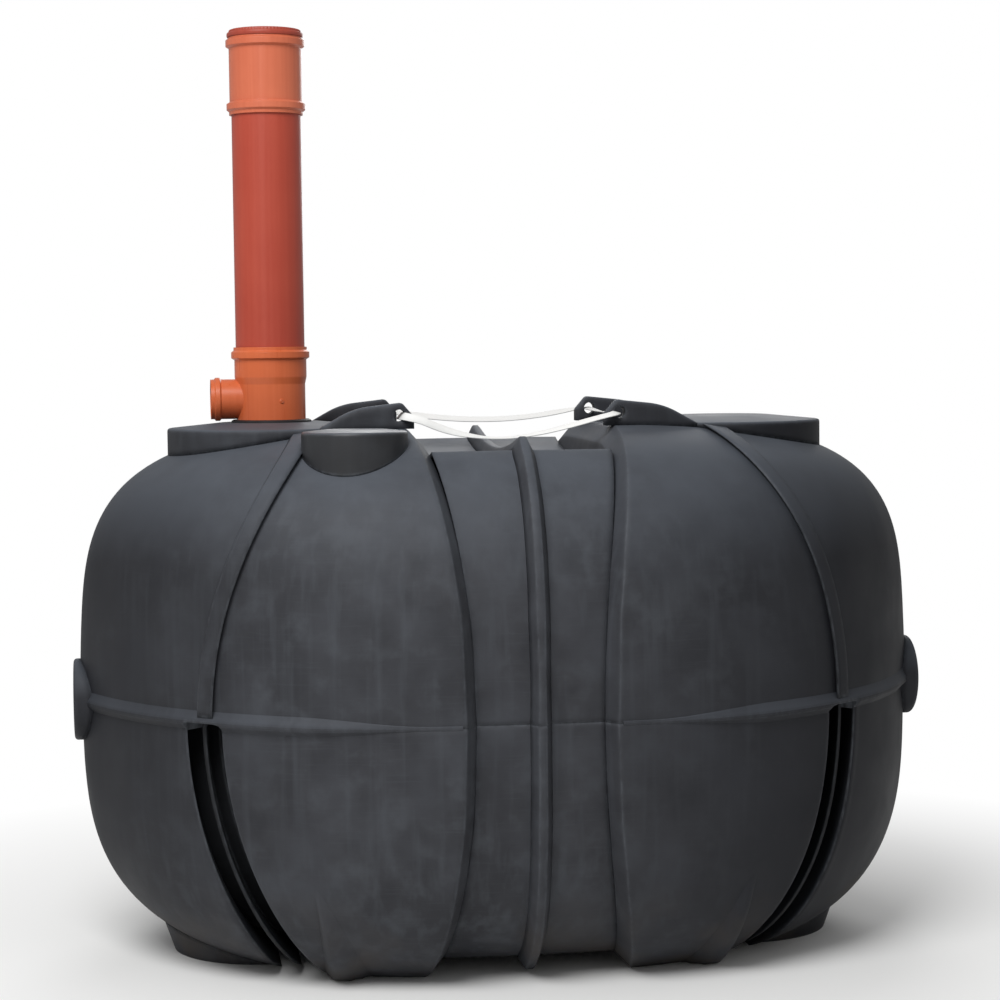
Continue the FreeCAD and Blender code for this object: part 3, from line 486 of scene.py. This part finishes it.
# Lifting strap: flat webbing, twisting between the lugs
strap = {
    "route": [
        (-0.313, 0.206, 1.554), (-0.313, 0.258, 1.555), (-0.300, 0.296, 1.553), (-0.252, 0.306, 1.547),
        (-0.170, 0.303, 1.535), (-0.060, 0.299, 1.525), (0.060, 0.298, 1.524), (0.165, 0.302, 1.533),
        (0.252, 0.306, 1.547), (0.300, 0.296, 1.554), (0.313, 0.258, 1.556), (0.314, 0.196, 1.554),
        (0.322, 0.110, 1.549), (0.325, 0.010, 1.547), (0.322, -0.095, 1.549), (0.314, -0.190, 1.554),
        (0.313, -0.258, 1.556), (0.300, -0.296, 1.553), (0.252, -0.306, 1.543), (0.170, -0.303, 1.521),
        (0.075, -0.300, 1.498), (-0.035, -0.298, 1.485), (-0.140, -0.300, 1.499), (-0.210, -0.304, 1.521),
        (-0.258, -0.306, 1.543), (-0.301, -0.296, 1.553), (-0.312, -0.258, 1.555), (-0.312, -0.206, 1.554),
    ],
    "width": 0.024,
    "thick": 0.0035,
    "length": 1.992,
    "twist": [(0.0, -20), (0.1, -40), (0.3, -35), (0.36, -10), (0.5, 15), (0.62, 20), (0.70, 30), (0.82, 8),
              (0.92, 60), (1.0, 50)],  # share of the length, degrees from level
    "section": [(-0.5, -0.3), (-0.46, -0.5), (0.46, -0.5), (0.5, -0.3),
                (0.5, 0.3), (0.46, 0.5), (-0.46, 0.5), (-0.5, 0.3)],  # shares of width and thickness
}


def routePoints(route):
    data = bpy.data.curves.new("strapRoute", "CURVE")
    data.dimensions = "3D"
    data.resolution_u = 10
    spline = data.splines.new("NURBS")
    spline.points.add(len(route) - 1)
    for point, spot in zip(spline.points, route):
        point.co = (*spot, 1.0)
    spline.order_u = 3
    spline.use_endpoint_u = True
    thing = bpy.data.objects.new("strapRoute", data)
    bpy.context.scene.collection.objects.link(thing)
    bpy.context.view_layer.update()
    mesh = bpy.data.meshes.new_from_object(thing.evaluated_get(bpy.context.evaluated_depsgraph_get()))
    spots = [vertex.co.copy() for vertex in mesh.vertices]
    bpy.data.meshes.remove(mesh)
    bpy.data.objects.remove(thing)
    bpy.data.curves.remove(data)
    return spots


def strapTwist(twist, share):
    for (start, low), (end, high) in zip(twist, twist[1:]):
        if share <= end:
            part = (share - start) / (end - start)
            return math.radians(low + (high - low) * part * part * (3.0 - 2.0 * part))
    return math.radians(twist[-1][1])


def makeStrap(spec):
    spots = routePoints(spec["route"])
    steps = [0.0]
    for here, there in zip(spots, spots[1:]):
        steps.append(steps[-1] + (there - here).length)
    mesh = bmesh.new()
    rings = []
    for i, spot in enumerate(spots):
        along = (spots[min(i + 1, len(spots) - 1)] - spots[max(i - 1, 0)]).normalized()
        flat = along.cross(Vector((0, 0, 1))).normalized()
        over = flat.cross(along)
        turn = strapTwist(spec["twist"], steps[i] / steps[-1])
        wide = math.cos(turn) * flat + math.sin(turn) * over
        thin = math.cos(turn) * over - math.sin(turn) * flat
        ring = []
        for w, t in spec["section"]:
            ring.append(mesh.verts.new(spot + wide * w * spec["width"] + thin * t * spec["thick"]))
        rings.append(ring)
    corners = len(spec["section"])
    for first, second in zip(rings, rings[1:]):
        for k in range(corners):
            n = (k + 1) % corners
            mesh.faces.new((first[k], first[n], second[n], second[k]))
    mesh.faces.new(list(reversed(rings[0])))
    mesh.faces.new(rings[-1])
    bmesh.ops.recalc_face_normals(mesh, faces=mesh.faces)
    data = bpy.data.meshes.new("liftingStrap")
    mesh.to_mesh(data)
    mesh.free()
    for face in data.polygons:
        face.use_smooth = True
    thing = bpy.data.objects.new("liftingStrap", data)
    bpy.context.scene.collection.objects.link(thing)
    return thing, spots


# Webbing: white woven polyester, dull, with a fine slanting weave
def webbingMaterial():
    material, tree, shader = startMaterial("polyesterWebbing")
    place = addNode(tree, "ShaderNodeTexCoord").outputs["Object"]
    weave = addNode(tree, "ShaderNodeTexWave", {"Vector": place, "Scale": 160.0, "Distortion": 1.0},
                    bands_direction="DIAGONAL").outputs["Fac"]
    colour = blend(tree, spread(tree, weave, 0.2, 0.8), "#DEDEDC", "#F6F6F4")
    tree.links.new(colour, shader.inputs["Base Color"])
    shader.inputs["Roughness"].default_value = 0.8
    bump = addNode(tree, "ShaderNodeBump", {"Height": weave, "Strength": 0.3, "Distance": 0.0005})
    tree.links.new(bump.outputs["Normal"], shader.inputs["Normal"])
    return material


strapPiece, strapLine = makeStrap(strap)
strapPiece.data.materials.append(webbingMaterial())
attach(strapPiece, "root")
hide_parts("lifting_strap")
print("strap made")

# Floor and light: pale floor that fades to white away from the tank, soft light from above left
studio = {
    "floor": "#F4F4F3",
    "half": 60.0,  # of the floor's side
    "fadeFrom": 1.2,
    "fadeTo": 2.8,
    "sky": 0.42,
    "lightSize": 4.0,
    "lights": {  # place, target, watts
        "softLight": ((-2.4, -4.2, 6.0), (0, 0, 0.9), 370.0),
        "backLight": ((1.6, 6.4, 4.0), (0, 0, 0.7), 110.0),
    },
}


def seenDirectly(tree):
    path = addNode(tree, "ShaderNodeLightPath").outputs
    return combine(tree, "MAXIMUM", path["Is Camera Ray"], path["Is Transmission Ray"])


def makeFloor(spec):
    data = bpy.data.meshes.new("floor")
    s = spec["half"]
    data.from_pydata([(-s, -s, 0), (s, -s, 0), (s, s, 0), (-s, s, 0)], [], [(0, 1, 2, 3)])
    thing = bpy.data.objects.new("floor", data)
    bpy.context.scene.collection.objects.link(thing)
    material, tree, shader = startMaterial("paleFloor")
    shader.inputs["Base Color"].default_value = linear(spec["floor"])
    shader.inputs["Roughness"].default_value = 0.9
    place = addNode(tree, "ShaderNodeTexCoord").outputs["Object"]
    away = addNode(tree, "ShaderNodeVectorMath", {0: place}, operation="LENGTH").outputs["Value"]
    fade = spread(tree, away, spec["fadeFrom"], spec["fadeTo"])
    white = addNode(tree, "ShaderNodeEmission", {"Color": (1.0, 1.0, 1.0, 1.0), "Strength": 1.0})
    mix = addNode(tree, "ShaderNodeMixShader", {0: combine(tree, "MULTIPLY", fade, seenDirectly(tree)),
                                                1: shader.outputs[0], 2: white.outputs[0]})
    tree.links.new(mix.outputs[0], tree.nodes["Material Output"].inputs["Surface"])
    data.materials.append(material)


def makeLight(name, place, target, size, power):
    data = bpy.data.lights.new(name, "AREA")
    data.shape = "DISK"
    data.size = size
    data.energy = power
    thing = bpy.data.objects.new(name, data)
    thing.location = place
    thing.rotation_euler = (Vector(target) - Vector(place)).to_track_quat("-Z", "Y").to_euler()
    bpy.context.scene.collection.objects.link(thing)


def makeWorld(spec):
    world = bpy.data.worlds.new("studioWorld")
    world.use_nodes = True
    tree = world.node_tree
    light = tree.nodes["Background"]
    light.inputs["Color"].default_value = (1.0, 1.0, 1.0, 1.0)
    light.inputs["Strength"].default_value = spec["sky"]
    white = addNode(tree, "ShaderNodeBackground", {"Color": (1.0, 1.0, 1.0, 1.0), "Strength": 1.0})
    mix = addNode(tree, "ShaderNodeMixShader", {0: seenDirectly(tree), 1: light.outputs[0], 2: white.outputs[0]})
    tree.links.new(mix.outputs[0], tree.nodes["World Output"].inputs["Surface"])
    bpy.context.scene.world = world


makeFloor(studio)
for name, (place, target, watts) in studio["lights"].items():
    makeLight(name, place, target, studio["lightSize"], watts)
makeWorld(studio)
bpy.context.scene.view_settings.view_transform = "Standard"
print("stage and light made")
